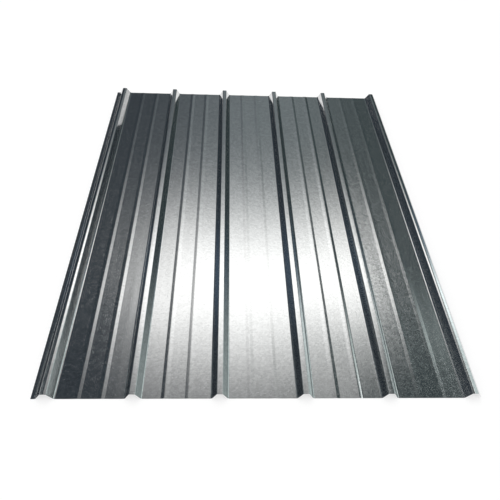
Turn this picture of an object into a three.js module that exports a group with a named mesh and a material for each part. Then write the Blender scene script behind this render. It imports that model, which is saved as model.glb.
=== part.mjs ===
// Ribbed roofing sheet, roll-formed from one strip of galvanised steel.
//
// Six narrow trapezoidal ribs stand on flat pans, and each pan is stiffened by two low swages.
// One edge ends in a flat lip that goes under the next sheet.  The other edge ends in a rib whose
// free web stops short of the pan, so that it drops over the next sheet's first rib.  These two
// lapping ribs share their own section, with wider webs and a crest like a low roof, and nest.
//
// Units are millimetres.  +X runs across the ribs, +Y along them and +Z is up.
// The origin is under the middle of the sheet, on the floor it lies on.

import * as THREE from "three";

// Driving dimensions of the section
const RIB_COUNT = 6;
const RIB_PITCH = 200;
const RIB_HEIGHT = 20.5;       // from the top of a pan to the top of a crest
const CREST_WIDTH = 14;        // between the two upper corners, taken sharp
const WEB_RUN = 11.5;          // sideways run of a sloping web, corner to corner
const SHEET_THICKNESS = 0.5;

// Bends of the ribs, measured at mid thickness
const CREST_BEND_RADIUS = 2;
const FOOT_BEND_RADIUS = 6;

// The two lapping ribs, whose crests rise to a ridge and slope down to their +X edge
const LAP_WEB_RUN = 13.5;
const LAP_RIDGE_RISE = 0.5;    // from the -X edge of the crest to the ridge
const LAP_SLOPE_RUN = 6.5;     // from the ridge to the +X edge
const LAP_SLOPE_DROP = 1;
const LAP_BEND_RADIUS = 12;    // along the ridge

// Low stiffening swages, two in each pan
const SWAGES_PER_PAN = 2;
const SWAGE_SPACING = 55;      // between the two crowns of a pan
const SWAGE_WIDTH = 18;
const SWAGE_HEIGHT = 0.65;
const OUTER_SWAGE_HEIGHT = 0.4; // in the first and the last pan
const SWAGE_CROWN_RADIUS = 30;
const SWAGE_FOOT_RADIUS = 20;

// Side edges
const UNDERLAP_LIP = 11;       // from the foot corner of the first web to the edge
const FREE_WEB_GAP = 3.6;      // height at which the last web ends above the pans

// Length as cut, along the ribs
const SHEET_LENGTH = 1350;

// Fineness of the bends
const BEND_STEPS = 6;

const MID_HEIGHT = SHEET_THICKNESS / 2;

function galvanisedSteel() {
  return new THREE.MeshStandardMaterial({
    color: new THREE.Color(0.62, 0.65, 0.66),
    roughness: 0.34,
    metalness: 1.0,
  });
}

// A corner of the section's middle line, with the radius that the strip is bent to there.
function corner(x, height, radius) {
  return { point: new THREE.Vector2(x, height + MID_HEIGHT), radius };
}

function ribCentre(index) {
  return (index - (RIB_COUNT - 1) / 2) * RIB_PITCH;
}

function isOutermost(index, count) {
  return index === 0 || index === count - 1;
}

// The first and the last rib lap with those of the neighbouring sheets.
function isLapping(index) {
  return isOutermost(index, RIB_COUNT);
}

function webRun(index) {
  return isLapping(index) ? LAP_WEB_RUN : WEB_RUN;
}

function leftWeb(index) {
  const edge = ribCentre(index) - CREST_WIDTH / 2;
  const belowRidge = isLapping(index) ? LAP_RIDGE_RISE : 0;
  return [
    corner(edge - webRun(index), 0, FOOT_BEND_RADIUS),
    corner(edge, RIB_HEIGHT - belowRidge, CREST_BEND_RADIUS),
  ];
}

// How far the +X edge of a rib's crest lies below the top of the rib.
function crestDrop(index) {
  return isLapping(index) ? LAP_SLOPE_DROP : 0;
}

// The +X edge of a crest, after the ridge on a lapping rib.
function crestEdge(index) {
  const edge = ribCentre(index) + CREST_WIDTH / 2;
  const corners = [corner(edge, RIB_HEIGHT - crestDrop(index), CREST_BEND_RADIUS)];
  if (isLapping(index)) {
    corners.unshift(corner(edge - LAP_SLOPE_RUN, RIB_HEIGHT, LAP_BEND_RADIUS));
  }
  return corners;
}

function rightFoot(index) {
  return corner(ribCentre(index) + CREST_WIDTH / 2 + webRun(index), 0, FOOT_BEND_RADIUS);
}

// The end of the last rib's outer web, which is cut off above the level of the pans.
function freeEdge(index) {
  const share = 1 - FREE_WEB_GAP / (RIB_HEIGHT - crestDrop(index));
  return corner(ribCentre(index) + CREST_WIDTH / 2 + webRun(index) * share, FREE_WEB_GAP, 0);
}

function swage(centre, height) {
  return [
    corner(centre - SWAGE_WIDTH / 2, 0, SWAGE_FOOT_RADIUS),
    corner(centre, height, SWAGE_CROWN_RADIUS),
    corner(centre + SWAGE_WIDTH / 2, 0, SWAGE_FOOT_RADIUS),
  ];
}

// The swages of the pan that follows the rib of the same index.
function panSwages(index) {
  const panCentre = ribCentre(index) + RIB_PITCH / 2;
  const height = isOutermost(index, RIB_COUNT - 1) ? OUTER_SWAGE_HEIGHT : SWAGE_HEIGHT;
  const corners = [];
  for (let i = 0; i < SWAGES_PER_PAN; i += 1) {
    const offset = (i - (SWAGES_PER_PAN - 1) / 2) * SWAGE_SPACING;
    corners.push(...swage(panCentre + offset, height));
  }
  return corners;
}

// Corners of the middle line, from the underlap lip to the free web.
function sectionCorners() {
  const lipEdge = ribCentre(0) - CREST_WIDTH / 2 - webRun(0) - UNDERLAP_LIP;
  const corners = [corner(lipEdge, 0, 0)];
  const lastRib = RIB_COUNT - 1;
  for (let i = 0; i < lastRib; i += 1) {
    corners.push(...leftWeb(i), ...crestEdge(i), rightFoot(i), ...panSwages(i));
  }
  corners.push(...leftWeb(lastRib), ...crestEdge(lastRib), freeEdge(lastRib));
  return corners;
}

// One side of the strip: the middle line moved by offset to its left, with its bends as arcs.
function stripSide(corners, offset) {
  const side = [];
  corners.forEach(({ point, radius }, i) => {
    const before = corners[i - 1];
    const after = corners[i + 1];
    const into = before ? point.clone().sub(before.point).normalize() : null;
    const outOf = after ? after.point.clone().sub(point).normalize() : null;
    if (!into || !outOf) {
      const along = into || outOf;
      side.push(new THREE.Vector2(point.x - along.y * offset, point.y + along.x * offset));
      return;
    }
    const turn = Math.atan2(into.cross(outOf), into.dot(outOf));
    const turnSide = Math.sign(turn);
    const setBack = radius * Math.tan(Math.abs(turn) / 2);
    const start = point.clone().addScaledVector(into, -setBack);
    const centre = start.add(new THREE.Vector2(-into.y, into.x).multiplyScalar(turnSide * radius));
    const arcRadius = radius - turnSide * offset;
    const startAngle = Math.atan2(into.y, into.x) - turnSide * Math.PI / 2;
    for (let step = 0; step <= BEND_STEPS; step += 1) {
      const angle = startAngle + turn * step / BEND_STEPS;
      const spoke = new THREE.Vector2(Math.cos(angle), Math.sin(angle));
      side.push(spoke.multiplyScalar(arcRadius).add(centre));
    }
  });
  return side;
}

function sheetSection() {
  const corners = sectionCorners();
  const upper = stripSide(corners, SHEET_THICKNESS / 2);
  const lower = stripSide(corners, -SHEET_THICKNESS / 2);
  return new THREE.Shape([...lower, ...upper.reverse()]);
}

// The section is drawn standing up and rolled out along +Y, centred on the origin.
function corrugatedSheet() {
  const geometry = new THREE.ExtrudeGeometry(sheetSection(), {
    depth: SHEET_LENGTH,
    steps: 1,
    bevelEnabled: false,
  });
  geometry.rotateX(Math.PI / 2);
  geometry.computeBoundingBox();
  const { min, max } = geometry.boundingBox;
  geometry.translate(-(min.x + max.x) / 2, SHEET_LENGTH / 2, -min.z);
  const sheet = new THREE.Mesh(geometry, galvanisedSteel());
  sheet.name = "corrugated_sheet";
  return sheet;
}

const model = new THREE.Group();
model.name = "corrugated_metal_sheet";
model.add(corrugatedSheet());

export default model;
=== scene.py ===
"""Ribbed galvanised roofing sheet, lying on a studio floor."""

import math

import bmesh
import bpy
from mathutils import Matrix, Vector, noise


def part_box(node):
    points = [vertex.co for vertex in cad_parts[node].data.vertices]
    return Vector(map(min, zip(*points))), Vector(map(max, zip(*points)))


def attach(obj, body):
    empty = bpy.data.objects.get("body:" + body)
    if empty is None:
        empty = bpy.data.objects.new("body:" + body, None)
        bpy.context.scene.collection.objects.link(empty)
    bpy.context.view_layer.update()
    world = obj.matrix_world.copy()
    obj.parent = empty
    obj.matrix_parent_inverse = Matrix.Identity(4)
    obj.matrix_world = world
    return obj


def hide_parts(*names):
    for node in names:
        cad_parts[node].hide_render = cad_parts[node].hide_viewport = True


bl_info = {
    "name": "Ribbed roofing sheet",
    "version": (1, 0, 0),
    "blender": (4, 5, 0),
    "location": "View3D > Sidebar > Roofing",
    "description": "A six-rib galvanised roofing sheet and the studio it is seen in",
    "category": "Add Mesh",
}

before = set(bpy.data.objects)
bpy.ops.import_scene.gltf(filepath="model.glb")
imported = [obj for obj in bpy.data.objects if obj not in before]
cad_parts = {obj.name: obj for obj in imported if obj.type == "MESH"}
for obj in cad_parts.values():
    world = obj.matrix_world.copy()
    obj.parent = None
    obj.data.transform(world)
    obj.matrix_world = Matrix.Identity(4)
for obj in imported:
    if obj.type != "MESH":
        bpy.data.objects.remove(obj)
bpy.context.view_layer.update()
STEEL_NODE = "corrugated_sheet"
SHEET_LOW, SHEET_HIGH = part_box(STEEL_NODE)
SHEET_RUN = SHEET_HIGH.y - SHEET_LOW.y

# Fineness of the mesh
NEAR = 1e-6                       # metres within which two places are the same
BEND_STEP = math.radians(5.0)     # turn of one facet of a bend
FEWEST_FACETS = 4                 # of the slightest bend
STRIP_WIDTH = 0.02                # metres; the pans' flat strips are wider than this
STRIP_CUTS = 7
LENGTH_CUTS = 35
CRISP = math.radians(40.0)        # edges sharper than this stay crisp

# How the hollow of the pans' flat strips varies, in steps of a smooth noise
RIPPLE_ACROSS = 3.0               # over the width of a strip
RIPPLE_ALONG = 4.0                # over a metre of the sheet
RIPPLE_APART = 7.0                # from one strip to the next, so that no two are alike

# What makes up the brightness of the zinc
CRYSTAL_SHARE = 0.55
GRAIN_SHARE = 0.30
BLOOM_SHARE = 0.15
ROUGHNESS_RANGE = 0.03            # how far the crystals, or the grain, change the roughness

SENSOR_WIDTH = 36.0               # millimetres
CAMERA_REACH = 200.0              # metres, past the far side of the surroundings


# ---------------------------------------------------------------- settings


def length(name, description, default):
    """A property that holds a length in metres."""
    return bpy.props.FloatProperty(
        name=name, description=description, default=default, min=0.0, precision=5,
        subtype="DISTANCE", unit="LENGTH",
    )


def angle(name, description, degrees):
    """A property that holds a slope, with its default given in degrees."""
    return bpy.props.FloatProperty(
        name=name, description=description, default=math.radians(degrees),
        subtype="ANGLE", unit="ROTATION",
    )


class SheetSizes(bpy.types.PropertyGroup):
    """The roll-formed section, measured at mid thickness between sharp corners."""

    rib_count: bpy.props.IntProperty(
        name="Ribs", description="Ribs across the sheet", default=6, min=2,
    )
    rib_pitch: length("Rib pitch", "Distance between rib centres", 0.200)
    rib_height: length("Rib height", "From the pans to the crests", 0.0205)
    crest_width: length("Crest width", "Between the two upper corners of a rib", 0.014)
    web_run: length("Web run", "Sideways run of a sloping web", 0.0115)
    fifth_web_run: length(
        "Fifth web run", "Sideways run of the left web of the last rib but one", 0.0110,
    )
    crest_bend: length("Crest bend", "Radius of the bends beside a crest", 0.002)
    crest_crown: length("Crest crown", "Radius of the faint crown across a crest", 0.2)
    crown_slope: angle("Crown slope", "Slope of that crown beside the bends", 1.5)
    second_lean: angle(
        "Second crest lean", "How far the second rib's crest leans to the right", 2.5,
    )
    fifth_lean: angle(
        "Fifth crest lean", "How far the crest of the last rib but one leans to the right", -0.8,
    )
    foot_bend: length("Foot bend", "Radius of the bends at the foot of a web", 0.006)
    lap_web_run: length("Lap web run", "Sideways run of a web of the two lapping ribs", 0.0135)
    lap_rise: length("Lap rise", "How far a lapping rib's crest rises to its ridge", 0.00057)
    lap_run: length("Lap run", "From the first rib's ridge to the right edge of its crest", 0.0065)
    lap_drop: length("Lap drop", "How far that crest slopes down from its ridge", 0.001)
    last_lap_run: length(
        "Last lap run", "From the last rib's ridge to the right edge of its crest", 0.0085,
    )
    last_lap_drop: length(
        "Last lap drop", "How far the last rib's crest slopes down from its ridge", 0.0013,
    )
    lap_bend: length("Lap bend", "Radius of the bend along a ridge", 0.012)
    swage_spacing: length("Swage spacing", "Between the two swages of a pan", 0.055)
    swage_width: length("Swage width", "Width of a low stiffening swage", 0.018)
    swage_height: length("Swage height", "Height of a low stiffening swage", 0.00065)
    first_swage_height: length(
        "First swage height", "Height of the swages of the first pan", 0.0004,
    )
    last_swage_height: length("Last swage height", "Height of the swages of the last pan", 0.0002)
    firm_swage_height: length(
        "Firm swage height", "Height of the left swage of the last pan but one", 0.00085,
    )
    steep_swage_height: length(
        "Steep swage height", "Height of the right swage of the last pan but one", 0.0012,
    )
    swage_crown_bend: length("Swage crown bend", "Radius along the top of a swage", 0.030)
    swage_foot_bend: length("Swage foot bend", "Radius at either side of a swage", 0.020)
    underlap_lip: length("Underlap lip", "From the first web's foot to the edge", 0.011)
    free_web_gap: length("Free web gap", "Height at which the last web ends", 0.0036)
    thickness: length("Thickness", "Thickness of the coated strip", 0.0005)
    pan_sag: length("Pan sag", "How far rolling has dished each flat strip of a pan", 0.00006)
    ripple: length("Ripple", "How much the sag varies along the sheet", 0.00005)


class SteelFinish(bpy.types.PropertyGroup):
    """The zinc coating."""

    zinc: bpy.props.FloatVectorProperty(
        name="Zinc", description="Colour that the coating mirrors with",
        default=(0.66, 0.665, 0.665), size=3, min=0.0, max=1.0, subtype="COLOR",
    )
    roughness: bpy.props.FloatProperty(
        name="Roughness", description="Blur of the coating's reflections",
        default=0.115, min=0.0, max=1.0, subtype="FACTOR",
    )
    spangle: length("Spangle", "Size of a zinc crystal", 0.0055)
    spangle_tilt: bpy.props.FloatProperty(
        name="Spangle tilt", description="How unevenly neighbouring crystals face",
        default=0.0055, min=0.0, max=1.0, precision=4,
    )
    grain_relief: length("Grain relief", "Height of the finest unevenness", 0.000002)
    contrast: bpy.props.FloatProperty(
        name="Contrast", description="How much the crystals differ in brightness",
        default=0.13, min=0.0, max=0.5,
    )


class StudioSettings(bpy.types.PropertyGroup):
    """Floor, surroundings and camera."""

    floor: bpy.props.FloatVectorProperty(
        name="Floor", description="Colour of the floor",
        default=(0.5, 0.5, 0.5), size=3, min=0.0, max=1.0, subtype="COLOR",
    )
    floor_glow: bpy.props.FloatProperty(
        name="Floor glow", description="Light added so that the floor is seen as white",
        default=0.52, min=0.0,
    )
    softbox: bpy.props.FloatProperty(
        name="Softbox", description="Brightness of the large softbox as steel mirrors it",
        default=1.6, min=0.0,
    )
    dome_radius: length("Dome radius", "Distance of the surroundings that steel mirrors", 60.0)
    lens: bpy.props.FloatProperty(
        name="Lens", description="Focal length of the camera", default=37.914, unit="CAMERA",
    )
    camera_place: bpy.props.FloatVectorProperty(
        name="Camera place", description="Where the camera stands",
        default=(-0.0857, -1.2686, 1.1234), size=3, subtype="TRANSLATION", unit="LENGTH",
    )
    camera_turn: bpy.props.FloatVectorProperty(
        name="Camera turn", description="How the camera is turned",
        default=(math.radians(43.646), math.radians(-2.410), math.radians(-1.446)), size=3,
        subtype="EULER", unit="ROTATION",
    )


# ---------------------------------------------------------------- shader maths


class Signal:
    """A number that flows through a material, so that maths on it reads as maths."""

    def __init__(self, graph, socket):
        self.graph = graph
        self.socket = socket

    def __add__(self, other):
        return self.graph.math("ADD", self, other)

    def __sub__(self, other):
        return self.graph.math("SUBTRACT", self, other)

    def __rsub__(self, other):
        return self.graph.math("SUBTRACT", other, self)

    def __mul__(self, other):
        return self.graph.math("MULTIPLY", self, other)

    def __truediv__(self, other):
        return self.graph.math("DIVIDE", self, other)

    __radd__ = __add__
    __rmul__ = __mul__


class Graph:
    """The node tree of one material."""

    def __init__(self, name):
        self.material = bpy.data.materials.new(name)
        self.material.use_nodes = True
        self.tree = self.material.node_tree
        self.tree.nodes.clear()

    def node(self, kind, settings=None, inputs=None, output=0):
        """Adds a node, with its settings first and then the values or links of its sockets."""
        made = self.tree.nodes.new("ShaderNode" + kind)
        for name, value in (settings or {}).items():
            setattr(made, name, value)
        for key, value in (inputs or {}).items():
            if isinstance(value, Signal):
                self.tree.links.new(value.socket, made.inputs[key])
            else:
                made.inputs[key].default_value = value
        return Signal(self, made.outputs[output]) if made.outputs else None

    def math(self, operation, *terms):
        """Works out one operation on numbers."""
        return self.node("Math", {"operation": operation}, dict(enumerate(terms)))

    def vector_math(self, operation, first, second, output=0):
        """The same on two vectors or colours."""
        return self.node("VectorMath", {"operation": operation}, {0: first, 1: second}, output)

    def rise(self, value, start, end):
        """0 before start and 1 after end, with a soft step between them."""
        return self.node(
            "MapRange", {"interpolation_type": "SMOOTHSTEP"},
            {"Value": value, "From Min": start, "From Max": end},
        )

    def fall(self, value, start, end, by=1.0):
        """1 before start and less by the given amount after end."""
        return 1.0 - self.rise(value, start, end) * by

    def window(self, value, opens, closes):
        """1 between two soft steps, each given by its start and end, and 0 on both sides."""
        return self.rise(value, *opens) - self.rise(value, *closes)

    def bell(self, value, centre, width):
        """1 at the centre, falling away on both sides."""
        away = (value - centre) / width
        return self.math("EXPONENT", away * away * -0.5)

    def blend(self, share, none, full):
        """Goes from none to full as the share goes from 0 to 1."""
        return none + share * (full - none)

    def degrees(self, opposite, adjacent):
        """The angle whose tangent is opposite over adjacent."""
        return self.math("ARCTAN2", opposite, adjacent) * math.degrees(1.0)

    def tint(self, share, dark, light):
        """A colour between dark and light."""
        colours = {"Factor": share, 6: (*dark, 1.0), 7: (*light, 1.0)}
        return self.node("Mix", {"data_type": "RGBA"}, colours, 2)

    def finish(self, surface):
        """Puts the surface on the material."""
        self.node("OutputMaterial", None, {"Surface": surface})
        return self.material


# ---------------------------------------------------------------- steel and floor


def galvanised_steel(finish):
    """Hot-dip zinc with a fine spangle, smooth enough to mirror the room softly."""
    graph = Graph("Galvanised steel")
    place = graph.node("TexCoord", None, None, "Object")
    kind = {"feature": "F1", "voronoi_dimensions": "3D"}
    cells = {"Vector": place, "Scale": 1.0 / finish.spangle, "Randomness": 1.0}
    crystals = graph.node("TexVoronoi", kind, cells, "Color")
    centres = graph.node("TexVoronoi", kind, cells, "Position")
    shade = graph.node("SeparateColor", None, {"Color": crystals}, "Red")
    bloom = graph.node(
        "TexNoise", None, {"Vector": place, "Scale": 9.0, "Detail": 2.0, "Roughness": 0.5},
    )
    grain = graph.node(
        "TexNoise", None, {"Vector": place, "Scale": 420.0, "Detail": 3.0, "Roughness": 0.6},
    )

    brightness = shade * CRYSTAL_SHARE + grain * GRAIN_SHARE + bloom * BLOOM_SHARE
    dark = tuple(channel * (1.0 - finish.contrast) for channel in finish.zinc)
    light = tuple(channel * (1.0 + finish.contrast) for channel in finish.zinc)
    roughness = finish.roughness + (shade + grain - 1.0) * ROUGHNESS_RANGE

    # Each crystal is a flat facet that leans its own way.
    beside = graph.vector_math("SUBTRACT", place, centres)
    facing = graph.vector_math("SUBTRACT", crystals, (0.5, 0.5, 0.5))
    facet = graph.vector_math("DOT_PRODUCT", beside, facing, "Value")
    height = facet * finish.spangle_tilt + grain * finish.grain_relief
    relief = graph.node(
        "Bump", {"invert": False}, {"Strength": 1.0, "Distance": 1.0, "Height": height},
    )
    surface = graph.node("BsdfPrincipled", None, {
        "Base Color": graph.tint(brightness, dark, light),
        "Metallic": 1.0,
        "Roughness": roughness,
        "Normal": relief,
    })
    return graph.finish(surface)


def white_floor(studio):
    """Matt floor that the camera, and whatever mirrors it, sees as white, with a shadow on it."""
    graph = Graph("White floor")
    path = graph.node("LightPath", None, None, "Is Camera Ray")
    glossy = graph.node("LightPath", None, None, "Is Glossy Ray")
    through = graph.node("LightPath", None, None, "Is Transmission Ray")
    strength = (path + glossy + through) * studio.floor_glow
    paint = graph.node("BsdfDiffuse", None, {"Color": (*studio.floor, 1.0), "Roughness": 0.0})
    glow = graph.node("Emission", None, {"Color": (1.0, 1.0, 1.0, 1.0), "Strength": strength})
    return graph.finish(graph.node("AddShader", None, {0: paint, 1: glow}))


# ---------------------------------------------------------------- what the steel mirrors


class Outlook:
    """Which way a mirrored ray leaves, in degrees.

    Roll leans from overhead to the right, climb goes from ahead up to overhead, and spread opens
    from ahead outwards to all sides.  What is behind mirrors what is ahead.
    """

    def __init__(self, graph):
        place = graph.node("TexCoord", None, None, "Object")
        across, along, up = (
            graph.node("SeparateXYZ", None, {"Vector": place}, axis) for axis in ("X", "Y", "Z")
        )
        ahead = graph.math("ABSOLUTE", along)
        outward = graph.math("SQRT", across * across + up * up)
        self.roll = graph.degrees(across, up)
        self.climb = graph.degrees(up, ahead)
        self.spread = graph.degrees(outward, ahead)


def softbox(graph, view):
    """Strength of the tall softbox ahead, narrower and with a crisper left edge toward its top."""
    roll, climb = view.roll, view.climb
    crisp_share = 0.85
    corner_loss = 0.65
    patch_strength = 0.15

    soft_left = graph.rise(roll, start=-17.6, end=-4.6)
    crisp_left = (
        graph.rise(roll, start=-13.5, end=-10.9) * crisp_share
        + graph.rise(roll, start=-17.5, end=-10.5) * (1.0 - crisp_share)
    )
    left = graph.blend(graph.rise(climb, start=49.0, end=54.0), soft_left, crisp_left)
    right = graph.fall(roll, start=19.7, end=22.8)
    below = graph.bell(climb, centre=50.0, width=5.4)
    above = graph.bell(climb, centre=50.0, width=7.2)
    upright = graph.blend(graph.rise(climb, start=49.0, end=51.0), below, above)
    narrow = graph.bell(roll, centre=1.5, width=13.0)
    taper = graph.blend(graph.rise(climb, start=50.0, end=58.0), 1.0, narrow)
    corner = graph.rise(roll, start=15.3, end=17.6) * graph.rise(climb, start=58.6, end=61.4)
    patch = graph.bell(roll, centre=13.8, width=1.8) * graph.bell(climb, centre=62.0, width=1.9)
    body = upright * taper * (1.0 - corner * corner_loss) * left * right
    return body + patch * patch_strength


def dim_lights(graph, view):
    """Haze around the softbox and paler air toward the sides, as colours and strengths."""
    roll, climb, spread = view.roll, view.climb, view.spread
    overhead_strength, aside_strength = 0.45, 0.90

    haze = graph.bell(roll, centre=4.0, width=10.5) * graph.fall(climb, start=52.0, end=62.0)
    low_haze = graph.bell(roll, centre=16.5, width=5.0) * graph.fall(climb, start=31.0, end=38.0)
    blue = graph.bell(spread, centre=49.5, width=3.3) * (
        graph.bell(roll, centre=52.0, width=8.0) + graph.bell(roll, centre=-62.0, width=8.0)
    )
    aside = graph.rise(graph.math("ABSOLUTE", roll), start=20.0, end=34.0)
    glow = graph.rise(spread, start=66.0, end=82.0) * graph.blend(
        aside, overhead_strength, aside_strength,
    )
    return (
        ((0.155, 0.172, 0.176), haze),
        ((0.055, 0.061, 0.063), low_haze),
        ((0.075, 0.120, 0.180), blue),
        ((1.0, 1.0, 1.0), glow),
    )


def screens(graph, view):
    """The screens that stand to the left and right of the softbox, as colours and strengths."""
    roll, climb, spread = view.roll, view.climb, view.spread
    side = (
        graph.rise(roll, start=30.0, end=48.0) * graph.rise(spread, start=46.0, end=62.0)
        * graph.fall(roll, start=50.0, end=60.0, by=0.45)
    )
    strip = (
        graph.bell(roll, centre=46.0, width=4.0) * graph.rise(spread, start=49.5, end=55.0)
        * graph.fall(spread, start=54.0, end=64.0)
    )
    screen = (
        graph.window(roll, opens=(26.5, 28.7), closes=(31.0, 36.0))
        * graph.bell(climb, centre=55.5, width=3.4)
        * graph.fall(climb, start=57.0, end=60.0, by=0.7)
    )
    glint = (
        graph.window(roll, opens=(30.0, 31.4), closes=(34.0, 37.0))
        * graph.rise(climb, start=56.6, end=58.0)
    )
    left_screen = (
        graph.window(roll, opens=(-38.5, -35.5), closes=(-32.8, -31.2))
        * graph.rise(spread, start=56.0, end=60.0)
    )
    return (
        ((0.66, 0.75, 0.74), side),
        ((1.17, 1.25, 1.24), strip),
        ((0.66, 0.74, 0.72), screen),
        ((1.85, 1.90, 1.89), glint),
        ((0.94, 1.03, 1.01), left_screen),
    )


def mirrored_studio(studio):
    """The room as steel mirrors it: dim walls, a tall softbox ahead and screens beside it."""
    graph = Graph("Mirrored studio")
    view = Outlook(graph)
    light = graph.tint(
        graph.rise(view.roll, start=-8.0, end=24.0),
        dark=(0.040, 0.050, 0.061), light=(0.050, 0.068, 0.072),
    )
    lights = (
        ((1.01, 0.995, 0.975), softbox(graph, view) * studio.softbox),
        *dim_lights(graph, view),
        *screens(graph, view),
    )
    for colour, strength in lights:
        beam = graph.node("VectorMath", {"operation": "SCALE"}, {0: colour, "Scale": strength})
        light = graph.vector_math("ADD", light, beam)
    return graph.finish(graph.node("Emission", None, {"Color": light, "Strength": 1.0}))


# ---------------------------------------------------------------- the sheet


def pan_level(sizes):
    """Height of the middle line where a pan is flat."""
    return SHEET_LOW.z + sizes.thickness / 2 + sizes.pan_sag + sizes.ripple


def ridged_crest(sizes, rib, centre, top):
    """Corners of a lapping rib's crest, which rises to a ridge and slopes down to the right."""
    run, drop = (
        (sizes.lap_run, sizes.lap_drop) if rib == 0
        else (sizes.last_lap_run, sizes.last_lap_drop)
    )
    right = centre + sizes.crest_width / 2
    return [
        (centre - sizes.crest_width / 2, top - sizes.lap_rise, sizes.crest_bend),
        (right - run, top, sizes.lap_bend),
        (right, top - drop, sizes.crest_bend),
    ]


def crowned_crest(sizes, rib, centre, top):
    """Corners of an inner rib's crest, which is faintly crowned and may lean to one side."""
    half_crest = sizes.crest_width / 2
    crown_peak = sizes.crest_crown * (1.0 / math.cos(sizes.crown_slope) - 1.0)
    crown_fall = half_crest * math.tan(sizes.crown_slope) - crown_peak
    leans = {1: sizes.second_lean, sizes.rib_count - 2: sizes.fifth_lean}
    lean = half_crest * math.tan(leans.get(rib, 0.0))
    middle = top - abs(lean)
    return [
        (centre - half_crest, middle - crown_fall + lean, sizes.crest_bend),
        (centre, middle + crown_peak, sizes.crest_crown),
        (centre + half_crest, middle - crown_fall - lean, sizes.crest_bend),
    ]


def swage_heights(sizes, pan):
    """Heights of the two swages of a pan, with the pans counted from the left."""
    last_pan = sizes.rib_count - 2
    if pan == 0:
        return sizes.first_swage_height, sizes.first_swage_height
    if pan == last_pan:
        return sizes.last_swage_height, sizes.last_swage_height
    if pan == last_pan - 1:
        return sizes.firm_swage_height, sizes.steep_swage_height
    return sizes.swage_height, sizes.swage_height


def swaged_pan(sizes, pan, centre, base):
    """Corners of the two swages of a pan."""
    corners = []
    for side, height in zip((-0.5, 0.5), swage_heights(sizes, pan)):
        crown = centre + side * sizes.swage_spacing
        corners.append((crown - sizes.swage_width / 2, base, sizes.swage_foot_bend))
        corners.append((crown, base + height, sizes.swage_crown_bend))
        corners.append((crown + sizes.swage_width / 2, base, sizes.swage_foot_bend))
    return corners


def section_corners(sizes):
    """The strip's middle line from lip to free web, as (x, z, bend radius) at each corner."""
    base = pan_level(sizes)
    top = SHEET_HIGH.z - sizes.thickness / 2
    half_crest = sizes.crest_width / 2
    last_rib = sizes.rib_count - 1
    centre = SHEET_LOW.x + sizes.underlap_lip + sizes.lap_web_run + half_crest
    corners = [(SHEET_LOW.x, base, 0.0)]
    for rib in range(sizes.rib_count):
        laps = rib in (0, last_rib)
        web_run = sizes.lap_web_run if laps else sizes.web_run
        left_run = sizes.fifth_web_run if rib == last_rib - 1 else web_run
        corners.append((centre - half_crest - left_run, base, sizes.foot_bend))
        crest = ridged_crest if laps else crowned_crest
        corners.extend(crest(sizes, rib, centre, top))
        if rib < last_rib:
            corners.append((centre + half_crest + web_run, base, sizes.foot_bend))
            corners.extend(swaged_pan(sizes, rib, centre + sizes.rib_pitch / 2, base))
            centre += sizes.rib_pitch
    share = 1.0 - sizes.free_web_gap / (sizes.rib_height - sizes.last_lap_drop)
    free_edge = centre + half_crest + sizes.lap_web_run * share
    corners.append((free_edge, base + sizes.free_web_gap, 0.0))
    return corners


def across_strip(edge):
    """True for an edge that crosses the strip, and False for one that runs along it."""
    first, last = edge.verts
    return abs(first.co.y - last.co.y) < NEAR


def fold_line(bm, corner):
    """The lengthwise edge that stands at a corner of the section."""
    x, z, _ = corner
    return [
        edge for edge in bm.edges
        if all(abs(v.co.x - x) < NEAR and abs(v.co.z - z) < NEAR for v in edge.verts)
    ]


def bend_strip(bm, before, corner, after):
    """Bends the strip at a corner to its radius."""
    x, z, radius = corner
    into = math.atan2(z - before[1], x - before[0])
    out_of = math.atan2(after[1] - z, after[0] - x)
    turn = abs(out_of - into)
    bmesh.ops.bevel(
        bm, geom=fold_line(bm, corner), offset=radius * math.tan(turn / 2), offset_type="OFFSET",
        segments=max(FEWEST_FACETS, round(turn / BEND_STEP)), profile=0.5, affect="EDGES",
        material=-1, clamp_overlap=False,
    )


def flat_strips(bm, base):
    """The wide faces that lie at the level of the pans."""
    return [
        face for face in bm.faces
        if len(face.verts) == 4 and all(abs(v.co.z - base) < NEAR for v in face.verts)
        and face.calc_area() > STRIP_WIDTH * SHEET_RUN
    ]


def dish_pans(bm, sizes):
    """Lets the flat strips of the pans hang slightly hollow, a little unevenly along the sheet."""
    strips = flat_strips(bm, pan_level(sizes))
    sides = [
        (min(v.co.x for v in face.verts), max(v.co.x for v in face.verts)) for face in strips
    ]
    ends = {edge for face in strips for edge in face.edges if across_strip(edge)}
    bmesh.ops.subdivide_edges(bm, edges=list(ends), cuts=STRIP_CUTS, use_grid_fill=True)
    lengthwise = [edge for edge in bm.edges if not across_strip(edge)]
    bmesh.ops.subdivide_edges(bm, edges=lengthwise, cuts=LENGTH_CUTS, use_grid_fill=True)
    for number, (left, right) in enumerate(sides):
        for vertex in bm.verts:
            share = (vertex.co.x - left) / (right - left)
            if 0.0 < share < 1.0:
                wave = noise.noise(Vector((
                    RIPPLE_ACROSS * share, RIPPLE_ALONG * vertex.co.y, RIPPLE_APART * number,
                )))
                hollow = 4.0 * share * (1.0 - share)    # 1 in the middle of the strip
                vertex.co.z -= hollow * (sizes.pan_sag + sizes.ripple * wave)


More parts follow.
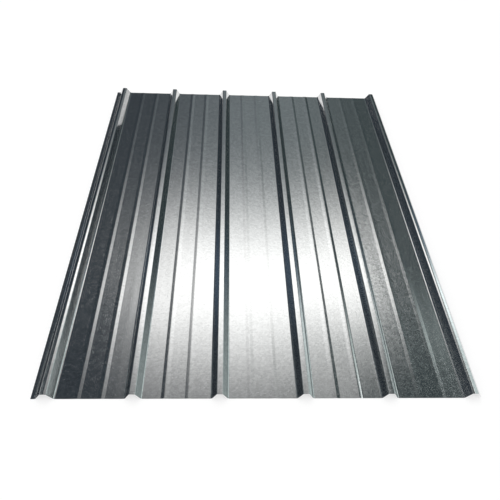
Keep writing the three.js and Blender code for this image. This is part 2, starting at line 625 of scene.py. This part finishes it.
def roll_form(sizes):
    """The middle surface of the strip, folded and dished."""
    bm = bmesh.new()
    corners = section_corners(sizes)
    points = [bm.verts.new((x, SHEET_LOW.y, z)) for x, z, _ in corners]
    line = [bm.edges.new(pair) for pair in zip(points, points[1:])]
    drawn = bmesh.ops.extrude_edge_only(bm, edges=line)["geom"]
    moved = [part for part in drawn if isinstance(part, bmesh.types.BMVert)]
    bmesh.ops.translate(bm, verts=moved, vec=(0.0, SHEET_RUN, 0.0))
    for before, corner, after in zip(corners, corners[1:], corners[2:]):
        bend_strip(bm, before, corner, after)
    dish_pans(bm, sizes)
    bmesh.ops.recalc_face_normals(bm, faces=bm.faces)
    return bm


def thicken(bm, thickness):
    """Gives the middle surface its thickness, half to each side, with crisp cut edges."""
    bm.normal_update()
    if sum(face.normal.z for face in bm.faces) < 0.0:
        bmesh.ops.reverse_faces(bm, faces=bm.faces)
        bm.normal_update()
    for vertex in bm.verts:
        vertex.co += vertex.normal * (thickness / 2 * vertex.calc_shell_factor())
    bmesh.ops.solidify(bm, geom=list(bm.faces), thickness=thickness)
    bmesh.ops.recalc_face_normals(bm, faces=bm.faces)
    for face in bm.faces:
        face.smooth = True
    for edge in bm.edges:
        edge.smooth = edge.calc_face_angle(0.0) < CRISP


class AddRoofingSheet(bpy.types.Operator):
    """Roll-forms the ribbed steel sheet and coats it with zinc"""

    bl_idname = "mesh.add_roofing_sheet"
    bl_label = "Roofing sheet"

    def execute(self, context):
        sizes = context.scene.sheet_sizes
        bm = roll_form(sizes)
        thicken(bm, sizes.thickness)
        mesh = bpy.data.meshes.new("Roofing sheet")
        bm.to_mesh(mesh)
        bm.free()
        mesh.materials.append(galvanised_steel(context.scene.steel_finish))
        sheet = bpy.data.objects.new("roofing_sheet", mesh)
        context.scene.collection.objects.link(sheet)
        flats = sheet.modifiers.new("Flats stay flat", "WEIGHTED_NORMAL")
        flats.keep_sharp = True
        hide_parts(STEEL_NODE)
        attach(sheet, "root")
        return {"FINISHED"}


# ---------------------------------------------------------------- the studio


def stage_object(context, name, bm, material):
    """A piece of the studio that isn't part of the sheet."""
    mesh = bpy.data.meshes.new(name)
    bm.to_mesh(mesh)
    bm.free()
    mesh.materials.append(material)
    made = bpy.data.objects.new(name, mesh)
    context.scene.collection.objects.link(made)
    return made


def add_surroundings(context, studio):
    """A white floor, and a dome around it that only mirrors show."""
    ground = bmesh.new()
    bmesh.ops.create_grid(ground, x_segments=1, y_segments=1, size=studio.dome_radius)
    stage_object(context, "floor", ground, white_floor(studio))

    shell = bmesh.new()
    bmesh.ops.create_uvsphere(shell, u_segments=96, v_segments=48, radius=studio.dome_radius)
    dome = stage_object(context, "mirrored_studio", shell, mirrored_studio(studio))
    dome.visible_camera = False
    dome.visible_diffuse = False
    dome.visible_shadow = False
    dome.visible_transmission = False


def add_even_light(context):
    """White light from everywhere."""
    world = bpy.data.worlds.new("White surroundings")
    world.use_nodes = True
    background = world.node_tree.nodes["Background"]
    background.inputs["Color"].default_value = (1.0, 1.0, 1.0, 1.0)
    background.inputs["Strength"].default_value = 1.0
    context.scene.world = world
    context.scene.view_settings.view_transform = "Standard"


def add_camera(context, studio):
    """The camera, looking down along the ribs."""
    camera = bpy.data.cameras.new("Camera")
    camera.lens = studio.lens
    camera.sensor_width = SENSOR_WIDTH
    camera.clip_end = CAMERA_REACH
    seen_from = bpy.data.objects.new("Camera", camera)
    seen_from.location = studio.camera_place
    seen_from.rotation_euler = studio.camera_turn
    context.scene.collection.objects.link(seen_from)
    context.scene.camera = seen_from


class AddSheetStudio(bpy.types.Operator):
    """Adds the white floor, the surroundings that the steel mirrors, even light and the camera"""

    bl_idname = "scene.add_sheet_studio"
    bl_label = "Studio"

    def execute(self, context):
        studio = context.scene.sheet_studio
        add_surroundings(context, studio)
        add_even_light(context)
        add_camera(context, studio)
        return {"FINISHED"}


class SheetPanel(bpy.types.Panel):
    """Lists the sheet's sizes, its coating and the studio"""

    bl_idname = "VIEW3D_PT_roofing_sheet"
    bl_label = "Roofing sheet"
    bl_space_type = "VIEW_3D"
    bl_region_type = "UI"
    bl_category = "Roofing"

    def draw(self, context):
        scene = context.scene
        for settings, operator in (
            (scene.sheet_sizes, None),
            (scene.steel_finish, AddRoofingSheet),
            (scene.sheet_studio, AddSheetStudio),
        ):
            column = self.layout.column(align=True)
            for name in settings.__annotations__:
                column.prop(settings, name)
            if operator:
                self.layout.operator(operator.bl_idname)


SETTINGS = {
    "sheet_sizes": SheetSizes,
    "steel_finish": SteelFinish,
    "sheet_studio": StudioSettings,
}
CLASSES = (*SETTINGS.values(), AddRoofingSheet, AddSheetStudio, SheetPanel)


def register():
    for cls in CLASSES:
        bpy.utils.register_class(cls)
    for name, group in SETTINGS.items():
        setattr(bpy.types.Scene, name, bpy.props.PointerProperty(type=group))


def unregister():
    for name in SETTINGS:
        delattr(bpy.types.Scene, name)
    for cls in reversed(CLASSES):
        bpy.utils.unregister_class(cls)


def main():
    register()
    bpy.ops.mesh.add_roofing_sheet()
    bpy.ops.scene.add_sheet_studio()


if __name__ == "__main__":
    main()
